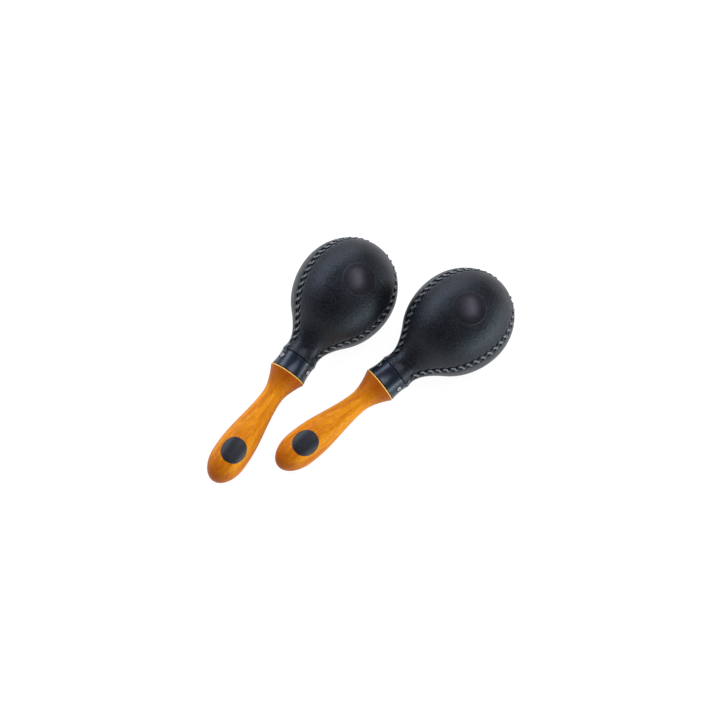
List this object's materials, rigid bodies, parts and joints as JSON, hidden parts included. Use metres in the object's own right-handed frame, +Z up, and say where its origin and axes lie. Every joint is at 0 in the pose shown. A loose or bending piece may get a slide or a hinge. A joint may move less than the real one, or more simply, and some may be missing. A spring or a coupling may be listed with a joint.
{
  "type": "pair of maracas",
  "caption": "Maracas lying side by side: egg-shaped heads of laced leather panels, screwed black collars and turned wooden handles, with loose beads that rattle inside.",
  "frame": {"origin": "on the floor under the middle of the pair's footprint", "axes": "+Z up from the floor the maracas lie on; +X to the right as pictured, along the longer side of the footprint; +Y away from the viewer, towards the heads"},
  "size_m": [0.2532, 0.2044, 0.0853],
  "materials": {
    "lacquered_wood": "honey-orange clear lacquer over turned hardwood",
    "black_collar": "smooth glossy blue-black",
    "black_leather": "matte fine-grained black leather",
    "leather_lace": "waxed dark thong",
    "bright_steel": "bright plated steel",
    "seed_bead": "bare hard seed"
  },
  "bodies": {
    "left_maraca": {"left_handle": "lacquered_wood", "left_collar": "black_collar", "left_front_panel": "black_leather", "left_back_panel_1": "black_leather", "left_back_panel_2": "black_leather", "left_seam_lace_1": "leather_lace", "left_seam_lace_2": "leather_lace", "left_seam_lace_3": "leather_lace", "left_collar_screw_1": "bright_steel", "left_collar_screw_2": "bright_steel", "left_collar_screw_3": "bright_steel"},
    "left_bead_1_body": {"left_bead_1": "seed_bead"},
    "left_bead_2_body": {"left_bead_2": "seed_bead"},
    "left_bead_3_body": {"left_bead_3": "seed_bead"},
    "left_bead_4_body": {"left_bead_4": "seed_bead"},
    "left_bead_5_body": {"left_bead_5": "seed_bead"},
    "left_bead_6_body": {"left_bead_6": "seed_bead"},
    "left_bead_7_body": {"left_bead_7": "seed_bead"},
    "left_bead_8_body": {"left_bead_8": "seed_bead"},
    "right_maraca": {"right_handle": "lacquered_wood", "right_collar": "black_collar", "right_front_panel": "black_leather", "right_back_panel_1": "black_leather", "right_back_panel_2": "black_leather", "right_seam_lace_1": "leather_lace", "right_seam_lace_2": "leather_lace", "right_seam_lace_3": "leather_lace", "right_collar_screw_1": "bright_steel", "right_collar_screw_2": "bright_steel", "right_collar_screw_3": "bright_steel"},
    "right_bead_1_body": {"right_bead_1": "seed_bead"},
    "right_bead_2_body": {"right_bead_2": "seed_bead"},
    "right_bead_3_body": {"right_bead_3": "seed_bead"},
    "right_bead_4_body": {"right_bead_4": "seed_bead"},
    "right_bead_5_body": {"right_bead_5": "seed_bead"},
    "right_bead_6_body": {"right_bead_6": "seed_bead"},
    "right_bead_7_body": {"right_bead_7": "seed_bead"},
    "right_bead_8_body": {"right_bead_8": "seed_bead"}
  },
  "joints": [
    {"name": "right_maraca_lift", "type": "slide", "parent": "left_maraca", "child": "right_maraca", "axis": [0, 0, 1], "range_m": [0, 0.3]},
    {"name": "left_bead_1_travel", "type": "slide", "parent": "left_maraca", "child": "left_bead_1_body", "axis": [0, 0, 1], "range_m": [0, 0.0725]},
    {"name": "left_bead_2_travel", "type": "slide", "parent": "left_maraca", "child": "left_bead_2_body", "axis": [0, 0, 1], "range_m": [0, 0.0715]},
    {"name": "left_bead_3_travel", "type": "slide", "parent": "left_maraca", "child": "left_bead_3_body", "axis": [0, 0, 1], "range_m": [0, 0.0675]},
    {"name": "left_bead_4_travel", "type": "slide", "parent": "left_maraca", "child": "left_bead_4_body", "axis": [0, 0, 1], "range_m": [0, 0.063]},
    {"name": "left_bead_5_travel", "type": "slide", "parent": "left_maraca", "child": "left_bead_5_body", "axis": [0, 0, 1], "range_m": [0, 0.072]},
    {"name": "left_bead_6_travel", "type": "slide", "parent": "left_maraca", "child": "left_bead_6_body", "axis": [0, 0, 1], "range_m": [0, 0.0705]},
    {"name": "left_bead_7_travel", "type": "slide", "parent": "left_maraca", "child": "left_bead_7_body", "axis": [0, 0, 1], "range_m": [0, 0.067]},
    {"name": "left_bead_8_travel", "type": "slide", "parent": "left_maraca", "child": "left_bead_8_body", "axis": [0, 0, 1], "range_m": [0, 0.0625]},
    {"name": "right_bead_1_travel", "type": "slide", "parent": "right_maraca", "child": "right_bead_1_body", "axis": [0, 0, 1], "range_m": [0, 0.0725]},
    {"name": "right_bead_2_travel", "type": "slide", "parent": "right_maraca", "child": "right_bead_2_body", "axis": [0, 0, 1], "range_m": [0, 0.071]},
    {"name": "right_bead_3_travel", "type": "slide", "parent": "right_maraca", "child": "right_bead_3_body", "axis": [0, 0, 1], "range_m": [0, 0.066]},
    {"name": "right_bead_4_travel", "type": "slide", "parent": "right_maraca", "child": "right_bead_4_body", "axis": [0, 0, 1], "range_m": [0, 0.0635]},
    {"name": "right_bead_5_travel", "type": "slide", "parent": "right_maraca", "child": "right_bead_5_body", "axis": [0, 0, 1], "range_m": [0, 0.072]},
    {"name": "right_bead_6_travel", "type": "slide", "parent": "right_maraca", "child": "right_bead_6_body", "axis": [0, 0, 1], "range_m": [0, 0.0705]},
    {"name": "right_bead_7_travel", "type": "slide", "parent": "right_maraca", "child": "right_bead_7_body", "axis": [0, 0, 1], "range_m": [0, 0.0655]},
    {"name": "right_bead_8_travel", "type": "slide", "parent": "right_maraca", "child": "right_bead_8_body", "axis": [0, 0, 1], "range_m": [0, 0.0635]}
  ]
}
